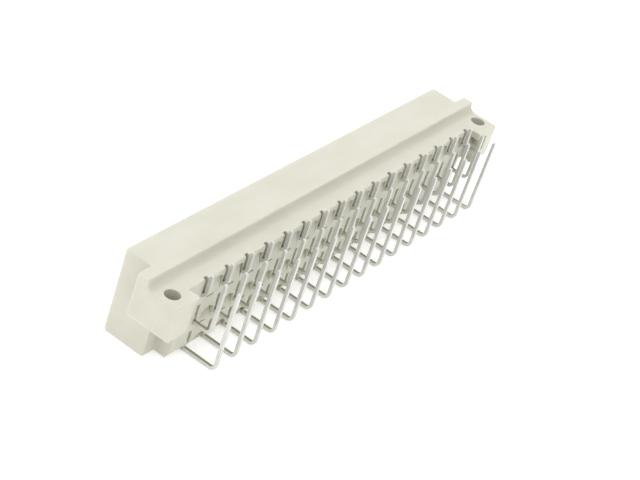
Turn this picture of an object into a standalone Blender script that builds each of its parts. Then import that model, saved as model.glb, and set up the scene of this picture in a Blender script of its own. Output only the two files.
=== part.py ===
"""Angled male backplane connector: one moulded housing and 48 stamped contacts.

Units are metres, +Z up. X runs along the connector and Y towards the mating side.
The sizes and places below are read from a datum on the board face, at the foot of the long ledge
and midway between the screw holes. The datum is an empty that carries every piece, and it is set
so that the part stands on z = 0 with the origin below the middle of its bounding box.
"""

import math

import bmesh
import bpy
from mathutils import Matrix

MM = 0.001

# Contact pattern
COLUMNS = 16
ROW_LETTERS = "abc"
COLUMN_PITCH = 5.08 * MM
ROW_PITCH = 5.08 * MM
TAIL_PITCH = 2.54 * MM
TOP_PIN_DROP = 1.12 * MM  # the first row's pins, below the board face

# Housing along X, each step counted outwards from the one before
BASE_MARGIN = 1.53 * MM  # from the last contact column to the end of the base
SHROUD_OVERHANG = 2.8 * MM
EAR_LENGTH = 3.1 * MM
HOLE_INSET = 2.35 * MM
END_WALL = 1.9 * MM

# Housing along Y, counted from the ledge foot
CAVITY_FLOOR = 0.6 * MM
CAVITY_DEPTH = 6.45 * MM
SHROUD_REAR = 0.75 * MM
BASE_REAR = 3.65 * MM
FLANGE_FRONT = 2.15 * MM
FLANGE_BACKSET = 2.25 * MM  # the flanges' rear faces, behind the base's
HOLE_SETBACK = 3.05 * MM

# Housing along Z
PIN_TO_WALL = 1.37 * MM
LONG_WALL = 1.35 * MM
FLANGE_DROP = 6.3 * MM

# Housing, edges and holes
LEDGE_FILLET = 1.1 * MM
EDGE_RADIUS = 0.4 * MM
EDGE_ANGLE = 40.0  # degrees between two faces, above which their edge is rounded
HOLE_DIAMETER = 2.6 * MM
LEAD_IN = 0.5 * MM
KEY_CHAMFER = 1.2 * MM

# Mouths of the contact slots
MOUTH_RISE = 1.25 * MM  # above the pin's axis, so that the first row's mouths break the board face
MOUTH_DEPTH = 0.6 * MM

# Core-outs between the contact slots, each with a slit at its foot
POCKET_WIDTH = 2.1 * MM
POCKET_HEIGHT = 2.7 * MM
POCKET_DEPTH = 0.7 * MM
POCKET_DROP = 0.1 * MM  # from the pin's axis down to the top of the arch
POCKET_ARCH = 0.45 * MM
SLIT_WIDTH = 1.5 * MM
SLIT_HEIGHT = 0.35 * MM
SLIT_DEPTH = 1.5 * MM

# Contacts
SHEET = 0.6 * MM
PIN_HEIGHT = 0.8 * MM
PIN_RECESS = 1.05 * MM  # the pins' tips, inside the shroud's mouth
PIN_TAPER = 0.9 * MM
PIN_POINT = 0.4 * MM
BODY_RISE = 0.72 * MM
BODY_FALL = 2.16 * MM
BODY_SETBACK = 1.35 * MM
BODY_LENGTH = 1.7 * MM
STRIP = 0.85 * MM
SOLDER_WIDTH = 0.6 * MM
SOLDER_LENGTH = 3.6 * MM
SOLDER_POINT = 0.35 * MM
SHOULDER_GAP = 0.1 * MM  # least straight leg between the bend and the solder shoulder
TAIL_CLEAR = 0.8 * MM  # from the base's rear face to the middle of the first row's legs
TIP_RISE = 1.0 * MM
BEND_INNER_RADIUS = 0.6 * MM
CONTACT_CLEARANCE = 0.1 * MM

# Facets and cutting allowances
ARC_STEPS = 4
ARCH_SEGMENTS = 2
HOLE_SIDES = 32
EDGE_SEGMENTS = 2
PAST = 5.0 * MM  # how far a cutter runs past the face that it opens
WELD = 0.001 * MM

# Derived places
LEDGE_FOOT = 0.0
BOARD_FACE = 0.0
PATTERN_SHIFT = COLUMN_PITCH / 4  # the fitted columns are the even positions of a finer grid
BASE_END = PATTERN_SHIFT + (COLUMNS - 1) / 2 * COLUMN_PITCH + BASE_MARGIN
SHROUD_END = BASE_END + SHROUD_OVERHANG
FLANGE_END = SHROUD_END + EAR_LENGTH
HOLE_X = FLANGE_END - HOLE_INSET
SHROUD_FRONT = CAVITY_FLOOR + CAVITY_DEPTH
FLANGE_REAR = BASE_REAR + FLANGE_BACKSET
CAVITY_TOP = BOARD_FACE - TOP_PIN_DROP + PIN_TO_WALL
CAVITY_BOTTOM = BOARD_FACE - TOP_PIN_DROP - (len(ROW_LETTERS) - 1) * ROW_PITCH - PIN_TO_WALL
LEDGE_HEIGHT = CAVITY_TOP + LONG_WALL
BODY_DROP = LONG_WALL - CAVITY_BOTTOM
PIN_TIP = SHROUD_FRONT - PIN_RECESS
BODY_REAR = -BASE_REAR + BODY_SETBACK
BODY_FRONT = BODY_REAR + BODY_LENGTH

# Finishes: colour, roughness, metallic
HOUSING_FINISH = ((0.71, 0.70, 0.60), 0.48, 0.0)
CONTACT_FINISH = ((0.72, 0.71, 0.66), 0.30, 1.0)


def column_x(column):
    """X of a column, counted from 0 at the low end."""
    return PATTERN_SHIFT + (column - (COLUMNS - 1) / 2) * COLUMN_PITCH


def pin_z(row):
    """Z of a row's mating pins, counted from 0 next to the board face."""
    return BOARD_FACE - TOP_PIN_DROP - row * ROW_PITCH


def tail_y(row):
    """Y of the middle of a row's solder tails."""
    return -(BASE_REAR + TAIL_CLEAR + row * TAIL_PITCH)


def clear_scene():
    """Remove every object of the opened scene."""
    for old in list(bpy.data.objects):
        bpy.data.objects.remove(old, do_unlink=True)


def new_collection(name):
    """Return a new collection linked to the scene."""
    collection = bpy.data.collections.new(name)
    bpy.context.scene.collection.children.link(collection)
    return collection


def new_material(name, finish):
    """Return a Principled material with a plain colour, roughness and metallic value."""
    colour, roughness, metallic = finish
    material = bpy.data.materials.new(name)
    material.use_nodes = True
    shader = material.node_tree.nodes["Principled BSDF"]
    shader.inputs["Base Color"].default_value = (*colour, 1.0)
    shader.inputs["Roughness"].default_value = roughness
    shader.inputs["Metallic"].default_value = metallic
    return material


def new_datum(collection):
    """The empty at the ledge foot, on the board face, that carries the whole part."""
    rearmost = tail_y(len(ROW_LETTERS) - 1) - STRIP / 2
    datum = bpy.data.objects.new("board_datum", None)
    collection.objects.link(datum)
    datum.location = (0.0, -(SHROUD_FRONT + rearmost) / 2, BODY_DROP)
    return datum


def new_object(name, mesh, collection):
    """Link a mesh as an object of a collection, carried by the datum."""
    thing = bpy.data.objects.new(name, mesh)
    collection.objects.link(thing)
    thing.parent = bpy.data.objects["board_datum"]
    return thing


def arc(centre, radius, start, end, steps=ARC_STEPS):
    """Points of an arc from start to end, in degrees, with both ends."""
    points = []
    for step in range(steps + 1):
        angle = math.radians(start + (end - start) * step / steps)
        points.append((centre[0] + radius * math.cos(angle), centre[1] + radius * math.sin(angle)))
    return points


def side_prism_mesh(name, outline, width, middle=0.0):
    """Mesh of an outline given in (Y, Z), extruded along X to a width about a middle."""
    curve = bpy.data.curves.new(name, "CURVE")
    curve.dimensions = "2D"
    curve.fill_mode = "BOTH"
    curve.extrude = width / 2
    spline = curve.splines.new("POLY")
    spline.points.add(len(outline) - 1)
    for point, (y, z) in zip(spline.points, outline):
        point.co = (y, z, 0.0, 1.0)
    spline.use_cyclic_u = True
    carrier = bpy.data.objects.new(name, curve)
    bpy.context.scene.collection.objects.link(carrier)
    evaluated = carrier.evaluated_get(bpy.context.evaluated_depsgraph_get())
    mesh = bpy.data.meshes.new_from_object(evaluated)
    bpy.data.objects.remove(carrier, do_unlink=True)
    bpy.data.curves.remove(curve)

    # The flat outline turns to stand in the YZ plane, so that its thickness runs along X.
    shape = bmesh.new()
    shape.from_mesh(mesh)
    bmesh.ops.remove_doubles(shape, verts=shape.verts, dist=WELD)
    turn = Matrix.Rotation(math.pi / 2, 4, "Z") @ Matrix.Rotation(math.pi / 2, 4, "X")
    bmesh.ops.transform(shape, matrix=Matrix.Translation((middle, 0, 0)) @ turn, verts=shape.verts)
    bmesh.ops.recalc_face_normals(shape, faces=shape.faces)
    shape.to_mesh(mesh)
    shape.free()
    mesh.name = name
    return mesh


def add_box(shape, low, high):
    """Add a box between two corners to a bmesh, and return its vertices."""
    size = [b - a for a, b in zip(low, high)]
    centre = [(a + b) / 2 for a, b in zip(low, high)]
    matrix = Matrix.Translation(centre) @ Matrix.Diagonal((*size, 1.0))
    return bmesh.ops.create_cube(shape, size=1.0, matrix=matrix)["verts"]


def new_cutter(name, shape, cutters):
    """Turn a bmesh into a wire-displayed cutter object."""
    mesh = bpy.data.meshes.new(name)
    shape.to_mesh(mesh)
    shape.free()
    cutter = new_object(name, mesh, cutters)
    cutter.display_type = "WIRE"
    cutter.hide_render = True
    return cutter


def cut(target, cutter):
    """Subtract a cutter from the target."""
    modifier = target.modifiers.new(cutter.name, "BOOLEAN")
    modifier.operation = "DIFFERENCE"
    modifier.solver = "EXACT"
    modifier.object = cutter


def housing_blank_mesh():
    """Full-length extrusion of the housing's largest section, with the ledge and its fillet."""
    fillet_centre = (LEDGE_FOOT - LEDGE_FILLET, BOARD_FACE + LEDGE_FILLET)
    outline = [(SHROUD_FRONT, -BODY_DROP), (SHROUD_FRONT, LEDGE_HEIGHT), (LEDGE_FOOT, LEDGE_HEIGHT)]
    outline += arc(fillet_centre, LEDGE_FILLET, 0, -90)
    outline += [(-FLANGE_REAR, BOARD_FACE), (-FLANGE_REAR, -BODY_DROP)]
    return side_prism_mesh("housing", outline, 2 * FLANGE_END)


def end_relief(side, cutters):
    """Cutter that frees the space below one flange, beside the shroud and behind it."""
    far_end = side * (FLANGE_END + PAST)
    plan = [
        (side * SHROUD_END, SHROUD_FRONT + PAST),
        (far_end, SHROUD_FRONT + PAST),
        (far_end, -FLANGE_REAR - PAST),
        (side * BASE_END, -FLANGE_REAR - PAST),
        (side * BASE_END, -SHROUD_REAR),
        (side * SHROUD_END, -SHROUD_REAR),
    ]
    shape = bmesh.new()
    corners = [shape.verts.new((x, y, -FLANGE_DROP)) for x, y in plan]
    bottom = shape.faces.new(corners)
    grown = bmesh.ops.extrude_face_region(shape, geom=[bottom])
    lower = [part for part in grown["geom"] if isinstance(part, bmesh.types.BMVert)]
    bmesh.ops.translate(shape, vec=(0, 0, FLANGE_DROP - BODY_DROP - PAST), verts=lower)
    bmesh.ops.recalc_face_normals(shape, faces=shape.faces)
    return new_cutter("relief_low" if side < 0 else "relief_high", shape, cutters)


def flange_front_relief(cutters):
    """Cutter that sets the flanges' fronts back from the shroud's front, at both ends."""
    shape = bmesh.new()
    for side in (-1, 1):
        near, far = sorted((side * SHROUD_END, side * (FLANGE_END + PAST)))
        low = (near, FLANGE_FRONT, -BODY_DROP - PAST)
        high = (far, SHROUD_FRONT + PAST, LEDGE_HEIGHT + PAST)
        add_box(shape, low, high)
    return new_cutter("flange_front_relief", shape, cutters)


def rear_relief(cutters):
    """Cutter that sets the base's rear face in between the two flanges."""
    shape = bmesh.new()
    low = (-BASE_END, -FLANGE_REAR - PAST, -BODY_DROP - PAST)
    high = (BASE_END, -BASE_REAR, LEDGE_HEIGHT + PAST)
    add_box(shape, low, high)
    return new_cutter("rear_relief", shape, cutters)


def cavity(cutters):
    """Cutter of the shroud's cavity, with its keying chamfers and the lead-in at its mouth."""
    end = SHROUD_END - END_WALL
    plan = [
        (-end, CAVITY_TOP),
        (-end, CAVITY_BOTTOM + KEY_CHAMFER),
        (-end + KEY_CHAMFER, CAVITY_BOTTOM),
        (end - KEY_CHAMFER, CAVITY_BOTTOM),
        (end, CAVITY_BOTTOM + KEY_CHAMFER),
        (end, CAVITY_TOP),
    ]
    centre_z = (CAVITY_TOP + CAVITY_BOTTOM) / 2
    levels = [
        (CAVITY_FLOOR, 0.0),
        (SHROUD_FRONT - LEAD_IN, 0.0),
        (SHROUD_FRONT + LEAD_IN, 2 * LEAD_IN),
    ]
    shape = bmesh.new()
    rings = []
    for y, growth in levels:
        ring = []
        for x, z in plan:
            grown_x = x + math.copysign(growth, x)
            grown_z = z + math.copysign(growth, z - centre_z)
            ring.append(shape.verts.new((grown_x, y, grown_z)))
        rings.append(ring)
    shape.faces.new(rings[0])
    shape.faces.new(rings[-1])
    for near, far in zip(rings, rings[1:]):
        for index in range(len(plan)):
            after = (index + 1) % len(plan)
            shape.faces.new((near[index], near[after], far[after], far[index]))
    bmesh.ops.recalc_face_normals(shape, faces=shape.faces)
    return new_cutter("cavity", shape, cutters)


def contact_slots(cutters):
    """Cutter of the upright slots that the contact bodies are pressed into from the rear."""
    shape = bmesh.new()
    half = SHEET / 2 + CONTACT_CLEARANCE
    for column in range(COLUMNS):
        x = column_x(column)
        for row in range(len(ROW_LETTERS)):
            bottom = pin_z(row) - BODY_FALL - CONTACT_CLEARANCE
            top = pin_z(row) + BODY_RISE + CONTACT_CLEARANCE
            low = (x - half, -BASE_REAR - PAST, bottom)
            high = (x + half, BODY_FRONT + CONTACT_CLEARANCE, top)
            add_box(shape, low, high)
    return new_cutter("contact_slots", shape, cutters)


def pin_holes(cutters):
    """Cutter of the holes that lead each pin from its slot into the cavity."""
    shape = bmesh.new()
    half_x = SHEET / 2 + CONTACT_CLEARANCE
    half_z = PIN_HEIGHT / 2 + CONTACT_CLEARANCE
    for column in range(COLUMNS):
        x = column_x(column)
        for row in range(len(ROW_LETTERS)):
            low = (x - half_x, BODY_REAR, pin_z(row) - half_z)
            high = (x + half_x, CAVITY_FLOOR + LEAD_IN, pin_z(row) + half_z)
            add_box(shape, low, high)
    return new_cutter("pin_holes", shape, cutters)


def slot_mouths(cutters):
    """Cutter of the slots' taller mouths. The top row's break the board face's rear edge."""
    shape = bmesh.new()
    half = SHEET / 2 + CONTACT_CLEARANCE
    for column in range(COLUMNS):
        x = column_x(column)
        for row in range(len(ROW_LETTERS)):
            low = (x - half, -BASE_REAR - PAST, pin_z(row))
            high = (x + half, -BASE_REAR + MOUTH_DEPTH, pin_z(row) + MOUTH_RISE)
            add_box(shape, low, high)
    return new_cutter("slot_mouths", shape, cutters)


def upper_edges(box, top):
    """The two edges of a box that run along Y at its top."""
    edges = []
    for edge in {edge for vert in box for edge in vert.link_edges}:
        along_y = abs(edge.verts[0].co.x - edge.verts[1].co.x) < WELD
        at_top = all(abs(vert.co.z - top) < WELD for vert in edge.verts)
        if along_y and at_top:
            edges.append(edge)
    return edges


def core_pockets(cutters):
    """Cutter of the arched core-outs at the empty positions. The last row's open downwards."""
    shape = bmesh.new()
    last = len(ROW_LETTERS) - 1
    for column in range(COLUMNS):
        x = column_x(column) - COLUMN_PITCH / 2
        for row in range(len(ROW_LETTERS)):
            top = pin_z(row) - POCKET_DROP
            bottom = -BODY_DROP - PAST if row == last else top - POCKET_HEIGHT
            low = (x - POCKET_WIDTH / 2, -BASE_REAR - PAST, bottom)
            high = (x + POCKET_WIDTH / 2, -BASE_REAR + POCKET_DEPTH, top)
            box = add_box(shape, low, high)
            bmesh.ops.bevel(
                shape, geom=upper_edges(box, top), offset=POCKET_ARCH,
                segments=ARCH_SEGMENTS, profile=0.5, affect="EDGES")
    return new_cutter("core_pockets", shape, cutters)


def core_slits(cutters):
    """Cutter of the deep slits at the feet of the closed core-outs."""
    shape = bmesh.new()
    for column in range(COLUMNS):
        x = column_x(column) - COLUMN_PITCH / 2
        for row in range(len(ROW_LETTERS) - 1):
            foot = pin_z(row) - POCKET_DROP - POCKET_HEIGHT
            low = (x - SLIT_WIDTH / 2, -BASE_REAR - PAST, foot - SLIT_HEIGHT / 2)
            high = (x + SLIT_WIDTH / 2, -BASE_REAR + SLIT_DEPTH, foot + SLIT_HEIGHT / 2)
            add_box(shape, low, high)
    return new_cutter("core_slits", shape, cutters)


def screw_holes(cutters):
    """Cutter of the two screw holes, straight down through the flanges."""
    shape = bmesh.new()
    middle = (LEDGE_HEIGHT - FLANGE_DROP) / 2
    depth = LEDGE_HEIGHT + FLANGE_DROP + 2 * PAST
    for side in (-1, 1):
        place = Matrix.Translation((side * HOLE_X, -HOLE_SETBACK, middle))
        bmesh.ops.create_cone(
            shape, cap_ends=True, segments=HOLE_SIDES,
            radius1=HOLE_DIAMETER / 2, radius2=HOLE_DIAMETER / 2, depth=depth, matrix=place)
    return new_cutter("screw_holes", shape, cutters)


def round_edges(target):
    """Round the moulding's outer edges."""
    modifier = target.modifiers.new("edge_rounding", "BEVEL")
    modifier.width = EDGE_RADIUS
    modifier.segments = EDGE_SEGMENTS
    modifier.limit_method = "ANGLE"
    modifier.angle_limit = math.radians(EDGE_ANGLE)


def build_housing(parts, cutters, material):
    """The moulded housing: shroud, base and flanges in one piece."""
    housing = new_object("housing", housing_blank_mesh(), parts)
    housing.data.materials.append(material)
    cut(housing, rear_relief(cutters))
    cut(housing, end_relief(-1, cutters))
    cut(housing, end_relief(1, cutters))
    cut(housing, flange_front_relief(cutters))
    round_edges(housing)
    cut(housing, cavity(cutters))
    cut(housing, contact_slots(cutters))
    cut(housing, pin_holes(cutters))
    cut(housing, slot_mouths(cutters))
    cut(housing, core_pockets(cutters))
    cut(housing, core_slits(cutters))
    cut(housing, screw_holes(cutters))
    return housing


def contact_outline(row):
    """Outline in (Y, Z) of one row's contact: pin, body in its slot, tail, bend and solder leg."""
    axis = pin_z(row)
    pin_half = PIN_HEIGHT / 2
    body_top = axis + BODY_RISE
    body_bottom = axis - BODY_FALL
    strip_top = body_bottom + STRIP
    leg_rear = tail_y(row) - STRIP / 2
    leg_front = tail_y(row) + STRIP / 2
    leg_tip = BOARD_FACE + TIP_RISE
    outer_radius = BEND_INNER_RADIUS + STRIP
    bend_centre = (leg_front + BEND_INNER_RADIUS, strip_top + BEND_INNER_RADIUS)
    shoulder = max(leg_tip - SOLDER_LENGTH, bend_centre[1] + SHOULDER_GAP)
    half_solder = SOLDER_WIDTH / 2

    # Clockwise from the upper edge of the pin's tip, seen with the mating side on the right
    outline = [
        (PIN_TIP, axis + PIN_POINT / 2),
        (PIN_TIP, axis - PIN_POINT / 2),
        (PIN_TIP - PIN_TAPER, axis - pin_half),
        (BODY_FRONT, axis - pin_half),
        (BODY_FRONT, body_bottom),
    ]
    outline += arc(bend_centre, outer_radius, 270, 180)
    outline += [
        (leg_rear, shoulder),
        (tail_y(row) - half_solder, shoulder),
        (tail_y(row) - half_solder, leg_tip - SOLDER_POINT),
        (tail_y(row) - half_solder / 2, leg_tip),
        (tail_y(row) + half_solder / 2, leg_tip),
        (tail_y(row) + half_solder, leg_tip - SOLDER_POINT),
        (tail_y(row) + half_solder, shoulder),
        (leg_front, shoulder),
    ]
    outline += arc(bend_centre, BEND_INNER_RADIUS, 180, 270)
    outline += [
        (BODY_REAR, strip_top),
        (BODY_REAR, body_top),
        (BODY_FRONT, body_top),
        (BODY_FRONT, axis + pin_half),
        (PIN_TIP - PIN_TAPER, axis + pin_half),
    ]
    return outline


def build_contacts(parts, material):
    """The contacts: one stamped form for each row, repeated along the columns."""
    for row, letter in enumerate(ROW_LETTERS):
        mesh = side_prism_mesh(f"contact_{letter}", contact_outline(row), SHEET)
        mesh.materials.append(material)
        for column in range(COLUMNS):
            contact = new_object(f"contact_{letter}{column + 1:02d}", mesh, parts)
            contact.location.x = column_x(column)


def main():
    """Build the connector."""
    clear_scene()
    parts = new_collection("backplane_connector")
    cutters = new_collection("cutters")
    new_datum(parts)
    build_housing(parts, cutters, new_material("housing_plastic", HOUSING_FINISH))
    build_contacts(parts, new_material("plated_contact", CONTACT_FINISH))


main()
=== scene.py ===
"""The looks of the backplane connector: a moulded housing and three rows of plated contacts.

Everything is in metres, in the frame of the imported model. Sizes and places that belong to the
connector are read, as in its drawing, from a datum on the board face at the foot of the long ledge.
The housing is a welded copy of the model's own solid, with the ends of its ledge mended and its
rear face worked out finer: tapered core-outs, core slits, deeper slots, a slanted foot and a lip at
the low flange. The contacts are drawn to their sheet's true width, one for each row, and a Geometry
Nodes tree repeats them along the connector.
"""

import math

import bmesh
import bpy
from mathutils import Matrix, Vector


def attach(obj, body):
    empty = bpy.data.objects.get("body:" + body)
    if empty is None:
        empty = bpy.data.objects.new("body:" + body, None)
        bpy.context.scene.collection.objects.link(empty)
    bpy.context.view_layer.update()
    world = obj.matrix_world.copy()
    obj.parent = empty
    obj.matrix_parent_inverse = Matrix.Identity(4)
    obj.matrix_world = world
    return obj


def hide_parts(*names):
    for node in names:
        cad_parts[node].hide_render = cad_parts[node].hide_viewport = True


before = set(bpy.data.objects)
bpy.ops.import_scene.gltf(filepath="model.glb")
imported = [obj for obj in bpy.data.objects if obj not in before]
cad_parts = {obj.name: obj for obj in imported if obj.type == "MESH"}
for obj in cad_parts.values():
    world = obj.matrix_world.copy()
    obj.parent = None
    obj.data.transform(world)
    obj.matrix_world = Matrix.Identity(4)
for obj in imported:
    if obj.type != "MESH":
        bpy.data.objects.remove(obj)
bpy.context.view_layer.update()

MM = 0.001

DATUM = Vector((0.0, 1.4525, 14.0)) * MM
PAST = 5.0 * MM  # how far a cutter runs past the face that it opens

# Contact pattern
ROWS = "abc"
COLUMNS = 16
LAST_ROW = len(ROWS) - 1
COLUMN_PITCH = 5.08 * MM
ROW_PITCH = 5.08 * MM
TAIL_PITCH = 2.54 * MM
FIRST_COLUMN = -36.83 * MM
TOP_PIN_DROP = 1.12 * MM

# Housing
BASE_END = 40.9 * MM
BASE_REAR = 3.65 * MM
UNDERSIDE = -14.0 * MM
FLANGE_END = 46.8 * MM
LEDGE_TOP = 1.6 * MM
FOLD_HEIGHT = 0.3 * MM  # the rounding of the ledge's ends folds over itself this near its top
FOLD_REACH = 0.01 * MM  # and this near the flange's end face
LIP_X = -42.4 * MM  # the low flange's inner face
LIP_TOP_X = -41.4 * MM
LIP_HEIGHT = 1.3 * MM
FOOT_DEPTH = 0.85 * MM
FOOT_HEIGHT = 1.4 * MM

# Core-outs of the model's housing, which tapered ones take the place of
PLUG_WIDTH = 2.3 * MM
PLUG_BOTTOM = 3.05 * MM  # below the pin's axis, where the plug's top is
PLUG_DEPTH = 1.6 * MM

# Tapered core-outs, slits and slots in the base's rear face
POCKET_OUTLINE = (  # from the column on its low side and from the pin's axis
    (1.35 * MM, -2.95 * MM),
    (1.35 * MM, -0.95 * MM),
    (2.20 * MM, -0.50 * MM),
    (3.30 * MM, -0.35 * MM),
    (4.45 * MM, -0.85 * MM),
    (4.45 * MM, -2.95 * MM),
)
POCKET_DEPTH = (0.55 * MM, 1.25 * MM, 1.25 * MM)  # row by row
POCKET_FEET = -1.5 * MM  # the outline's corners below this are the feet
FIRST_POCKET_RISE = 0.7 * MM  # the first row's arches reach higher, and their feet don't
SLIT_FROM = 1.6 * MM  # from the column on its low side
SLIT_WIDTH = 1.5 * MM
SLIT_DROP = 3.2 * MM
SLIT_HEIGHT = 0.3 * MM
SLIT_DEPTH = 1.3 * MM
SLOT_HALF = 0.4 * MM
SLOT_DEPTH = 3.1 * MM

# Contacts. Rises, drops and falls are from the pin's axis, and the other places from the datum.
SHEET = 0.6 * MM
STRIP = 0.6 * MM
PIN_HALF = 0.4 * MM
PIN_POINT = 0.2 * MM
PIN_TAPER = 0.9 * MM
PIN_TIP = 6.0 * MM
BODY_FRONT = -0.6 * MM
BODY_REAR = -2.3 * MM
BODY_RISE = 0.72 * MM
BODY_FALL = (2.16 * MM, 2.40 * MM, 2.65 * MM)  # row by row
HEEL_REAR = -3.45 * MM
HEEL_DROP = 0.95 * MM
LEG_MIDDLE = -4.35 * MM
LEG_TIP = 1.0 * MM
LEG_POINT = 0.35 * MM
BEND_RADIUS = 0.6 * MM
BEND_STEPS = 8
CLEARANCE = 0.1 * MM

# Softened edges
HOUSING_EDGE = 0.06 * MM
CONTACT_EDGE = 0.06 * MM
EDGE_SEGMENTS = 2
SHARP_ANGLE = math.radians(35)  # edges sharper than this are softened
SMOOTH_ANGLE = math.radians(50)  # edges sharper than this stay sharp in the shading
FLAT_ANGLE = math.radians(0.5)
FLATNESS_WEIGHT = 100  # large faces decide the shading of the narrow ones beside them
WELD = 0.0005 * MM

# Plastic. A noise's scale is its features per metre. Of a range's two values, the first has none
# of the effect and the second has all of it. Places are from the datum.
PLASTIC_LIGHT = (0.540, 0.531, 0.456, 1.0)
PLASTIC_DEEP = (0.510, 0.504, 0.426, 1.0)
FLOW_STRETCH = (0.35, 1.0, 1.0)
FLOW_SCALE = 260.0
FLOW_RANGE = (0.35, 0.65)
FLOW_GLOSS = 0.05
FLOW_HEIGHT = 0.5
FIBRE_COLOUR = (0.62, 0.61, 0.56, 1.0)
FIBRE_SCALE = 9000.0
FIBRE_RANGE = (0.66, 0.76)
FIBRE_SHARE = 0.35
GRAIN_SCALE = 5200.0
GRAIN_RANGE = (0.3, 0.7)
GRAIN_ROUGHNESS = 0.10
PLASTIC_ROUGHNESS = 0.48
PLASTIC_BUMP = 0.18
PLASTIC_BUMP_HEIGHT = 0.02 * MM

# Painted shade: a deeper, yellower tone painted into the plastic's slots and core-outs, and into
# the fillet under the ledge
HOLLOW_SHADE_COLOUR = (0.36, 0.355, 0.20, 1.0)
HOLLOW_REAR = (-3.55 * MM, -2.7 * MM)
HOLLOW_FRONT = (0.3 * MM, -0.2 * MM)
HOLLOW_TOP = (-0.05 * MM, -0.5 * MM)
HOLLOW_BOTTOM = (-13.95 * MM, -13.6 * MM)
HOLLOW_LOW_END = (-40.6 * MM, -40.3 * MM)
HOLLOW_HIGH_END = (40.6 * MM, 40.3 * MM)
HOLLOW_SHADE_SHARE = 0.9
FILLET_REAR = (-1.25 * MM, -0.6 * MM)
FILLET_FRONT = (0.35 * MM, 0.0)
FILLET_TOP = (1.4 * MM, 0.6 * MM)
FILLET_BOTTOM = (-0.4 * MM, -0.1 * MM)
FILLET_SHADE_SHARE = 0.10

# Plating, with scales and ranges as above
TIN_BRIGHT = (0.60, 0.60, 0.565, 1.0)
TIN_DULL = (0.54, 0.54, 0.50, 1.0)
DULL_SCALE = 500.0
DULL_RANGE = (0.40, 0.75)
DULL_ROUGHNESS = 0.08
DRAWN_STRETCH = (1.0, 0.12, 0.12)
STREAK_SCALE = 14000.0
STREAK_RANGE = (0.3, 0.7)
STREAK_ROUGHNESS = 0.04
TIN_ROUGHNESS = 0.36
TIN_BUMP = 0.06
TIN_BUMP_HEIGHT = 0.01 * MM
REFLECTED_REAR_COLOUR = (0.30, 0.295, 0.17, 1.0)  # painted reflection of the housing's shaded rear face on the tails' upper faces
REFLECTION_SLOPE = (0.6, 0.85)  # the upward part of the normal
REFLECTION_TOP = (-0.4 * MM, -0.9 * MM)
REFLECTION_SHARE = 0.75
SLOT_SHADE_COLOUR = (0.40, 0.39, 0.24, 1.0)  # painted shade on the contacts within the slots
HIDDEN_REAR = (-3.6 * MM, -2.9 * MM)
HIDDEN_FRONT = (0.6 * MM, 0.0)
GOLD = (0.83, 0.66, 0.34, 1.0)
GOLD_REAR = (1.15 * MM, 1.65 * MM)

# Camera, fitted to the photograph
CAMERA_TARGET = Vector((-3.32, -1.88, 7.02)) * MM
CAMERA_DISTANCE = 305.5 * MM
CAMERA_AZIMUTH = math.radians(-65.45)
CAMERA_ELEVATION = math.radians(33.09)
CAMERA_ROLL = math.radians(19.6)
CAMERA_LENS = 105.75  # focal length in millimetres, as Blender counts it

# Studio
FLOOR_RADIUS = 6.0
FLOOR_SEGMENTS = 96
FLOOR_COLOUR = (0.93, 0.93, 0.93, 1.0)
WORLD_COLOUR = (1.0, 1.0, 1.0, 1.0)
WORLD_STRENGTH = 1.22
FLOOR_GLOW = 0.32


class Signal:
    """A node's output, on which plain Python arithmetic adds Math nodes."""

    def __init__(self, recipe, socket):
        self.recipe = recipe
        self.socket = socket

    def combine(self, operation, first, second):
        return self.recipe.node("ShaderNodeMath", {"operation": operation}, {0: first, 1: second})

    def __add__(self, other):
        return self.combine("ADD", self, other)

    def __radd__(self, other):
        return self.combine("ADD", other, self)

    def __sub__(self, other):
        return self.combine("SUBTRACT", self, other)

    def __mul__(self, other):
        return self.combine("MULTIPLY", self, other)

    def __rmul__(self, other):
        return self.combine("MULTIPLY", other, self)


class Recipe:
    """A material under construction, with its node tree and its Principled shader."""

    def __init__(self, name):
        self.material = bpy.data.materials.new(name)
        self.material.use_nodes = True
        self.tree = self.material.node_tree
        self.shader = self.tree.nodes["Principled BSDF"]

    def node(self, kind, settings=None, sockets=None, output=0):
        """Add a node: its settings first, then its sockets' values or links. Returns one output."""
        node = self.tree.nodes.new(kind)
        for key, value in (settings or {}).items():
            setattr(node, key, value)
        for key, value in (sockets or {}).items():
            self.feed(self.find(node.inputs, key), value)
        return Signal(self, self.find(node.outputs, output))

    def set(self, **sockets):
        """Give the Principled shader its values and links, named with _ for a space."""
        for key, value in sockets.items():
            self.feed(self.shader.inputs[key.replace("_", " ")], value)

    def feed(self, socket, value):
        if isinstance(value, Signal):
            self.tree.links.new(value.socket, socket)
        else:
            socket.default_value = value

    @staticmethod
    def find(sockets, key):
        """A socket by its number, its identifier or its name."""
        if isinstance(key, int):
            return sockets[key]
        return next((s for s in sockets if s.identifier == key), None) or sockets[key]

    def noise(self, where, scale, detail, roughness=0.5):
        """Noise from 0 to 1, with features about 1 / scale metres across."""
        sockets = {"Vector": where, "Scale": scale, "Detail": detail, "Roughness": roughness}
        return self.node("ShaderNodeTexNoise", {}, sockets)

    def spread(self, value, none, full):
        """0 where a value is at or before the first limit, 1 at or past the second."""
        sockets = {"Value": value, "From Min": none, "From Max": full}
        return self.node("ShaderNodeMapRange", {"clamp": True}, sockets)

    def between(self, value, one_end, other_end):
        """1 between two ends, faded to 0 over the range at each end."""
        return self.spread(value, *one_end) * self.spread(value, *other_end)

    def mix(self, share, first, second):
        """Mix two colours."""
        sockets = {"Factor_Float": share, "A_Color": first, "B_Color": second}
        return self.node("ShaderNodeMix", {"data_type": "RGBA"}, sockets, "Result_Color")

    def bump(self, height, strength, distance):
        """A Bump node, for the Normal input."""
        sockets = {"Strength": strength, "Distance": distance, "Height": height}
        return self.node("ShaderNodeBump", {}, sockets)


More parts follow.
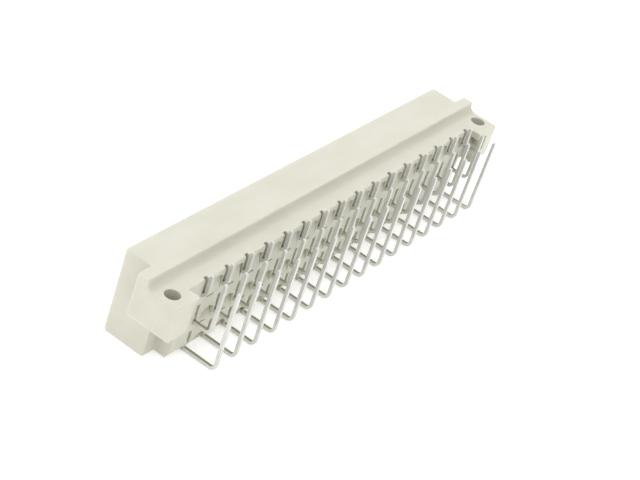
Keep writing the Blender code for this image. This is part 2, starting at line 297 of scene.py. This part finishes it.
def drawing_place(recipe):
    """The shaded point's place from the datum, as separate X, Y and Z signals."""
    where = recipe.node("ShaderNodeTexCoord", output="Object")
    axes = [recipe.node("ShaderNodeSeparateXYZ", {}, {"Vector": where}, axis) for axis in "XYZ"]
    return where, [signal - float(offset) for signal, offset in zip(axes, DATUM)]


def moulded_plastic():
    """Glass-filled moulding: pale warm grey with flow clouds, fibre specks and a satin grain."""
    recipe = Recipe("moulded_plastic")
    where, (across, depth, height) = drawing_place(recipe)
    along_flow = recipe.node("ShaderNodeMapping", {}, {"Vector": where, "Scale": FLOW_STRETCH})
    flow = recipe.noise(along_flow, FLOW_SCALE, detail=3.0, roughness=0.55)
    specks = recipe.noise(where, FIBRE_SCALE, detail=1.0)
    grain = recipe.noise(where, GRAIN_SCALE, detail=3.0, roughness=0.6)
    clouds = recipe.spread(flow, *FLOW_RANGE)
    body = recipe.mix(clouds, PLASTIC_LIGHT, PLASTIC_DEEP)

    # Painted shade: the slots and core-outs of the rear face are painted a deeper, yellower tone.
    inside = recipe.between(depth, HOLLOW_REAR, HOLLOW_FRONT)
    inside *= recipe.between(height, HOLLOW_TOP, HOLLOW_BOTTOM)
    inside *= recipe.between(across, HOLLOW_LOW_END, HOLLOW_HIGH_END)
    body = recipe.mix(inside * HOLLOW_SHADE_SHARE, body, HOLLOW_SHADE_COLOUR)

    # So is the fillet under the ledge, as painted shade.
    fillet = recipe.between(depth, FILLET_REAR, FILLET_FRONT)
    fillet *= recipe.between(height, FILLET_TOP, FILLET_BOTTOM)
    body = recipe.mix(fillet * FILLET_SHADE_SHARE, body, HOLLOW_SHADE_COLOUR)

    fibres = recipe.spread(specks, *FIBRE_RANGE)
    rough = PLASTIC_ROUGHNESS + GRAIN_ROUGHNESS * recipe.spread(grain, *GRAIN_RANGE)
    relief = grain + FLOW_HEIGHT * flow
    recipe.set(
        Base_Color=recipe.mix(fibres * FIBRE_SHARE, body, FIBRE_COLOUR),
        Roughness=rough - FLOW_GLOSS * clouds,
        Normal=recipe.bump(relief, PLASTIC_BUMP, PLASTIC_BUMP_HEIGHT),
        Specular_IOR_Level=0.45,
        Subsurface_Weight=0.35,
        Subsurface_Radius=(1.0, 0.92, 0.55),
        Subsurface_Scale=1.2 * MM,
        IOR=1.5,
    )
    return recipe.material


def plated_metal():
    """Tin plate on the tails, with drawn streaks and dull clouds, and a gold zone on the pins."""
    recipe = Recipe("plated_metal")
    where, (_, depth, height) = drawing_place(recipe)
    drawn = recipe.node("ShaderNodeMapping", {}, {"Vector": where, "Scale": DRAWN_STRETCH})
    streaks = recipe.noise(drawn, STREAK_SCALE, detail=2.0, roughness=0.6)
    clouds = recipe.noise(where, DULL_SCALE, detail=2.0)
    dull = recipe.spread(clouds, *DULL_RANGE)
    tin = recipe.mix(dull, TIN_BRIGHT, TIN_DULL)

    # Painted reflection: the tails' upper faces take the olive of the shaded rear face, and painted
    # shade darkens what lies in the slots.
    normal = recipe.node("ShaderNodeNewGeometry", output="Normal")
    upward = recipe.node("ShaderNodeSeparateXYZ", {}, {"Vector": normal}, "Z")
    painted_reflection = recipe.spread(upward, *REFLECTION_SLOPE) * recipe.spread(height, *REFLECTION_TOP)
    tin = recipe.mix(REFLECTION_SHARE * painted_reflection, tin, REFLECTED_REAR_COLOUR)
    tin = recipe.mix(recipe.between(depth, HIDDEN_REAR, HIDDEN_FRONT), tin, SLOT_SHADE_COLOUR)

    rough = TIN_ROUGHNESS + DULL_ROUGHNESS * dull
    recipe.set(
        Base_Color=recipe.mix(recipe.spread(depth, *GOLD_REAR), tin, GOLD),
        Metallic=0.60,
        Roughness=rough + STREAK_ROUGHNESS * recipe.spread(streaks, *STREAK_RANGE),
        Normal=recipe.bump(streaks, TIN_BUMP, TIN_BUMP_HEIGHT),
    )
    return recipe.material


def column_x(column):
    """X of a column, counted from 0 at the low end."""
    return FIRST_COLUMN + column * COLUMN_PITCH


def pin_z(row):
    """Z of a row's pins, counted from 0 next to the board face."""
    return -TOP_PIN_DROP - row * ROW_PITCH


def every_slot():
    """The row, X and pin's Z of each contact slot."""
    for row in range(len(ROWS)):
        for column in range(COLUMNS):
            yield row, column_x(column), pin_z(row)


def add_object(name, data):
    """A new object of the scene."""
    thing = bpy.data.objects.new(name, data)
    bpy.context.scene.collection.objects.link(thing)
    return thing


def add_shape(name, shape):
    """A new object of the scene, with a finished shape as its mesh."""
    mesh = bpy.data.meshes.new(name)
    shape.to_mesh(mesh)
    shape.free()
    return add_object(name, mesh)


def add_box(shape, low, high):
    """Add a box between two corners to a shape."""
    size = [b - a for a, b in zip(low, high)]
    middle = [(a + b) / 2 for a, b in zip(low, high)]
    place = Matrix.Translation(middle) @ Matrix.Diagonal((*size, 1.0))
    bmesh.ops.create_cube(shape, size=1.0, matrix=place)


def add_prism(shape, corners, shift):
    """Add a flat outline and its copy, moved by a shift, with the walls between them."""
    floor = shape.faces.new([shape.verts.new(corner) for corner in corners])
    grown = bmesh.ops.extrude_face_region(shape, geom=[floor])
    moved = [part for part in grown["geom"] if isinstance(part, bmesh.types.BMVert)]
    bmesh.ops.translate(shape, vec=shift, verts=moved)
    bmesh.ops.recalc_face_normals(shape, faces=shape.faces)


def make_plain(piece):
    """Replace a piece's mesh by what its modifiers make of it."""
    evaluated = piece.evaluated_get(bpy.context.evaluated_depsgraph_get())
    piece.data = bpy.data.meshes.new_from_object(evaluated)
    piece.modifiers.clear()


def carve(piece, shape, operation="DIFFERENCE"):
    """Take a shape, drawn from the datum, out of a piece at once, or add it to the piece."""
    bmesh.ops.translate(shape, vec=DATUM, verts=shape.verts)
    tool = add_shape("carving", shape)
    modifier = piece.modifiers.new("carving", "BOOLEAN")
    modifier.operation = operation
    modifier.solver = "EXACT"
    modifier.object = tool
    make_plain(piece)
    bpy.data.objects.remove(tool, do_unlink=True)


def core_plugs():
    """Blocks that fill the model's plain core-outs, flush with the base's rear face."""
    shape = bmesh.new()
    for row, x, axis in every_slot():
        middle = x - COLUMN_PITCH / 2
        bottom = UNDERSIDE if row == LAST_ROW else axis - PLUG_BOTTOM
        low = (middle - PLUG_WIDTH / 2, -BASE_REAR, bottom)
        high = (middle + PLUG_WIDTH / 2, -BASE_REAR + PLUG_DEPTH, axis)
        add_box(shape, low, high)
    return shape


def slot_feet():
    """The slots' lower ends, a little deeper where the tails lie lower."""
    shape = bmesh.new()
    for row, x, axis in every_slot():
        bottom = UNDERSIDE - PAST if row == LAST_ROW else axis - BODY_FALL[row] - CLEARANCE
        low = (x - SLOT_HALF, -BASE_REAR - PAST, bottom)
        high = (x + SLOT_HALF, -BASE_REAR + SLOT_DEPTH, axis)
        add_box(shape, low, high)
    return shape


def tapered_pockets():
    """Arched core-outs between the slots, deep under their arches and shallow at their feet."""
    shape = bmesh.new()
    for row, x, axis in every_slot():
        rise = FIRST_POCKET_RISE if row == 0 else 0.0
        top = axis + rise + max(z for _, z in POCKET_OUTLINE)
        bottom = axis + min(z for _, z in POCKET_OUTLINE)
        outline = []
        for dx, dz in POCKET_OUTLINE:
            outline.append((x + dx, axis + dz + (rise if dz > POCKET_FEET else 0.0)))
        front = [shape.verts.new((px, -BASE_REAR - PAST, pz)) for px, pz in outline]
        back = []
        for px, pz in outline:
            depth = POCKET_DEPTH[row] * (pz - bottom) / (top - bottom)
            back.append(shape.verts.new((px, -BASE_REAR + depth, pz)))
        shape.faces.new(front)
        shape.faces.new(back)
        for index in range(len(outline)):
            after = (index + 1) % len(outline)
            shape.faces.new((front[index], front[after], back[after], back[index]))
    bmesh.ops.recalc_face_normals(shape, faces=shape.faces)
    return shape


def core_slits():
    """Deep slits at the feet of the core-outs."""
    shape = bmesh.new()
    for row, x, axis in every_slot():
        if row == LAST_ROW:
            continue
        foot = axis - SLIT_DROP
        low = (x + SLIT_FROM, -BASE_REAR - PAST, foot)
        high = (x + SLIT_FROM + SLIT_WIDTH, -BASE_REAR + SLIT_DEPTH, foot + SLIT_HEIGHT)
        add_box(shape, low, high)
    return shape


def flange_lip():
    """The gap beside the low flange, below the slanted lip at the board face."""
    shape = bmesh.new()
    outline = [
        (-BASE_END - CLEARANCE, UNDERSIDE),
        (LIP_X, UNDERSIDE),
        (LIP_X, -LIP_HEIGHT),
        (LIP_TOP_X, 0.0),
        (LIP_TOP_X, PAST),
        (-BASE_END - CLEARANCE, PAST),
        (-BASE_END + CLEARANCE, PAST),
        (-BASE_END + CLEARANCE, UNDERSIDE),
    ]
    corners = [(x, -BASE_REAR - PAST, z) for x, z in outline]
    add_prism(shape, corners, (0.0, PAST, 0.0))
    return shape


def mend_ledge_ends(mesh):
    """Fold back the stray corner that stands at each end of the ledge's rounded edge."""
    shape = bmesh.new()
    shape.from_mesh(mesh)
    ends = [v for v in shape.verts if abs(v.co.x) > FLANGE_END - FOLD_REACH]
    limit = DATUM.z + LEDGE_TOP - FOLD_HEIGHT
    for stray in [v for v in ends if v.co.z > limit]:
        rest = [v for v in ends if v.co.z < limit and v.co.x * stray.co.x > 0]
        stray.co = min(rest, key=lambda v: (v.co - stray.co).length).co
    bmesh.ops.remove_doubles(shape, verts=shape.verts, dist=WELD)
    bmesh.ops.dissolve_degenerate(shape, dist=WELD, edges=shape.edges)
    shape.to_mesh(mesh)
    shape.free()


def slanted_foot():
    """The slant of the base's rear face above the underside."""
    shape = bmesh.new()
    # The cut's slanted side runs past the foot by its own length, above and below.
    outline = [
        (-BASE_REAR - FOOT_DEPTH, UNDERSIDE + 2 * FOOT_HEIGHT),
        (-BASE_REAR + 2 * FOOT_DEPTH, UNDERSIDE - FOOT_HEIGHT),
        (-BASE_REAR - FOOT_DEPTH, UNDERSIDE - FOOT_HEIGHT),
    ]
    corners = [(-BASE_END - PAST, y, z) for y, z in outline]
    add_prism(shape, corners, (2 * (BASE_END + PAST), 0.0, 0.0))
    return shape


def arc(centre, radius, start, end):
    """Points of an arc from start to end, in degrees, with both ends."""
    points = []
    for step in range(BEND_STEPS + 1):
        angle = math.radians(start + (end - start) * step / BEND_STEPS)
        points.append((centre[0] + radius * math.cos(angle), centre[1] + radius * math.sin(angle)))
    return points


def contact_outline(row):
    """Outline in (Y, Z) of one row's contact: pin, body in its slot, heel, tail and solder leg."""
    axis = pin_z(row)
    foot = axis - BODY_FALL[row]
    middle = LEG_MIDDLE - row * TAIL_PITCH
    leg_rear = middle - STRIP / 2
    leg_front = middle + STRIP / 2
    centre = (leg_front + BEND_RADIUS, foot + STRIP + BEND_RADIUS)
    heel = max(HEEL_REAR, centre[0] + CLEARANCE)
    outline = [
        (PIN_TIP, axis + PIN_POINT),
        (PIN_TIP, axis - PIN_POINT),
        (PIN_TIP - PIN_TAPER, axis - PIN_HALF),
        (BODY_FRONT, axis - PIN_HALF),
        (BODY_FRONT, foot),
    ]
    outline += arc(centre, BEND_RADIUS + STRIP, 270, 180)
    outline += [
        (leg_rear, LEG_TIP - LEG_POINT),
        (middle - STRIP / 4, LEG_TIP),
        (middle + STRIP / 4, LEG_TIP),
        (leg_front, LEG_TIP - LEG_POINT),
    ]
    outline += arc(centre, BEND_RADIUS, 180, 270)
    outline += [
        (heel, foot + STRIP),
        (heel, axis - HEEL_DROP),
        (BODY_REAR, axis - HEEL_DROP),
        (BODY_REAR, axis + BODY_RISE),
        (BODY_FRONT, axis + BODY_RISE),
        (BODY_FRONT, axis + PIN_HALF),
        (PIN_TIP - PIN_TAPER, axis + PIN_HALF),
    ]
    return outline


def first_contact(row, name):
    """The low end's contact of a row, cut from sheet."""
    shape = bmesh.new()
    left = FIRST_COLUMN - SHEET / 2
    add_prism(shape, [(left, y, z) for y, z in contact_outline(row)], (SHEET, 0.0, 0.0))
    bmesh.ops.translate(shape, vec=DATUM, verts=shape.verts)
    return add_shape(name, shape)


def join_flats(mesh):
    """Weld a mesh, and make its flat faces whole again."""
    shape = bmesh.new()
    shape.from_mesh(mesh)
    bmesh.ops.remove_doubles(shape, verts=shape.verts, dist=WELD)
    bmesh.ops.dissolve_limit(shape, angle_limit=FLAT_ANGLE, verts=shape.verts, edges=shape.edges)
    shape.to_mesh(mesh)
    shape.free()


def welded_copy(node, name):
    """A copy of a model's solid, welded and with its flat faces whole again."""
    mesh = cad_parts[node].data.copy()
    mesh.name = name
    join_flats(mesh)
    mesh.materials.clear()
    return add_object(name, mesh)


def soften(piece, width):
    """Add a fine bevel to a piece's sharp edges."""
    modifier = piece.modifiers.new("softened_edges", "BEVEL")
    modifier.width = width
    modifier.segments = EDGE_SEGMENTS
    modifier.limit_method = "ANGLE"
    modifier.angle_limit = SHARP_ANGLE


def settle(piece):
    """Turn a piece's modifiers into plain mesh, shaded smooth across its rounded edges."""
    make_plain(piece)
    piece.data.shade_smooth()
    piece.data.set_sharp_from_angle(angle=SMOOTH_ANGLE)
    modifier = piece.modifiers.new("flat_faces_stay_flat", "WEIGHTED_NORMAL")
    modifier.weight = FLATNESS_WEIGHT
    modifier.keep_sharp = True
    make_plain(piece)
    piece.data.name = piece.name


def finish_piece(piece, slot, *nodes):
    """A finished piece rides on the only body and stands for its nodes."""
    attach(piece, "root")
    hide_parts(*nodes)


def row_tree():
    """Geometry Nodes that repeat one contact along its row."""
    tree = bpy.data.node_groups.new("contact_row", "GeometryNodeTree")
    sockets = {}
    for name, kind in (
        ("Contact", "NodeSocketGeometry"),
        ("Count", "NodeSocketInt"),
        ("Pitch", "NodeSocketFloat"),
        ("Plating", "NodeSocketMaterial"),
    ):
        sockets[name] = tree.interface.new_socket(name, in_out="INPUT", socket_type=kind)
    tree.interface.new_socket("Row", in_out="OUTPUT", socket_type="NodeSocketGeometry")
    link = tree.links.new
    inputs = tree.nodes.new("NodeGroupInput")
    output = tree.nodes.new("NodeGroupOutput")
    offset = tree.nodes.new("ShaderNodeCombineXYZ")
    line = tree.nodes.new("GeometryNodeMeshLine")
    line.mode = "OFFSET"
    copies = tree.nodes.new("GeometryNodeInstanceOnPoints")
    real = tree.nodes.new("GeometryNodeRealizeInstances")
    plated = tree.nodes.new("GeometryNodeSetMaterial")
    link(inputs.outputs["Pitch"], offset.inputs["X"])
    link(inputs.outputs["Count"], line.inputs["Count"])
    link(offset.outputs["Vector"], line.inputs["Offset"])
    link(line.outputs["Mesh"], copies.inputs["Points"])
    link(inputs.outputs["Contact"], copies.inputs["Instance"])
    link(copies.outputs["Instances"], real.inputs["Geometry"])
    link(real.outputs["Geometry"], plated.inputs["Geometry"])
    link(inputs.outputs["Plating"], plated.inputs["Material"])
    link(plated.outputs["Geometry"], output.inputs["Row"])
    return tree, sockets


def build_contacts(material):
    """Three rows of contacts, each one piece that repeats the first contact of its row."""
    tree, sockets = row_tree()
    for number, letter in enumerate(ROWS):
        nodes = [f"contact_{letter}{column + 1:02d}" for column in range(COLUMNS)]
        row = first_contact(number, f"contact_row_{letter}")
        soften(row, CONTACT_EDGE)
        repeat = row.modifiers.new("contact_row", "NODES")
        repeat.node_group = tree
        repeat[sockets["Count"].identifier] = COLUMNS
        repeat[sockets["Pitch"].identifier] = COLUMN_PITCH
        repeat[sockets["Plating"].identifier] = material
        settle(row)
        finish_piece(row, "plated_contact", *nodes)


def build_housing(material):
    """The moulded housing, with its rear face worked out and every edge softened."""
    housing = welded_copy("housing", "moulded_housing")
    mend_ledge_ends(housing.data)
    carve(housing, core_plugs(), "UNION")
    for shape in (slot_feet(), tapered_pockets(), core_slits(), flange_lip(), slanted_foot()):
        carve(housing, shape)
    join_flats(housing.data)
    soften(housing, HOUSING_EDGE)
    settle(housing)
    housing.data.materials.append(material)
    finish_piece(housing, "housing_plastic", "housing")


def build_floor():
    """A plain pale floor."""
    shape = bmesh.new()
    bmesh.ops.create_circle(shape, cap_ends=True, radius=FLOOR_RADIUS, segments=FLOOR_SEGMENTS)
    floor = add_shape("studio_floor", shape)
    recipe = Recipe("floor_paint")
    recipe.set(Base_Color=FLOOR_COLOUR, Roughness=0.9, Specular_IOR_Level=0.1)
    recipe.set(Emission_Color=FLOOR_COLOUR, Emission_Strength=FLOOR_GLOW)
    floor.data.materials.append(recipe.material)


def outward(azimuth, elevation):
    """The direction from the origin to an azimuth, counted from -Y towards +X, and an elevation."""
    level = math.cos(elevation)
    return Vector((math.sin(azimuth) * level, -math.cos(azimuth) * level, math.sin(elevation)))


def add_softbox(name, azimuth, elevation, distance, size, power):
    """A square softbox that looks at the connector's middle, placed by angles in degrees."""
    light = bpy.data.lights.new(name, "AREA")
    light.size = size
    light.energy = power
    lamp = add_object(name, light)
    out = outward(math.radians(azimuth), math.radians(elevation))
    lamp.location = out * distance
    lamp.rotation_mode = "QUATERNION"
    lamp.rotation_quaternion = (-out).to_track_quat("-Z", "Y")


def build_studio():
    """Even white surroundings, and one softbox that shades the faces as in the photograph."""
    world = bpy.data.worlds.new("studio")
    world.use_nodes = True
    background = world.node_tree.nodes["Background"]
    background.inputs["Color"].default_value = WORLD_COLOUR
    background.inputs["Strength"].default_value = WORLD_STRENGTH
    bpy.context.scene.world = world
    add_softbox("key", azimuth=165, elevation=62, distance=0.9, size=0.6, power=2.4)
    bpy.context.scene.view_settings.view_transform = "Standard"


def build_camera():
    """The camera of the photograph: from above, over the board side of the low end."""
    data = bpy.data.cameras.new("camera")
    data.lens = CAMERA_LENS
    camera = add_object("camera", data)
    back = outward(CAMERA_AZIMUTH, CAMERA_ELEVATION)
    upright = (-back).to_track_quat("-Z", "Y").to_matrix().to_4x4()
    place = Matrix.Translation(CAMERA_TARGET + back * CAMERA_DISTANCE)
    camera.matrix_world = place @ upright @ Matrix.Rotation(CAMERA_ROLL, 4, "Z")
    bpy.context.scene.camera = camera


build_camera()
build_floor()
build_studio()
build_housing(moulded_plastic())
build_contacts(plated_metal())
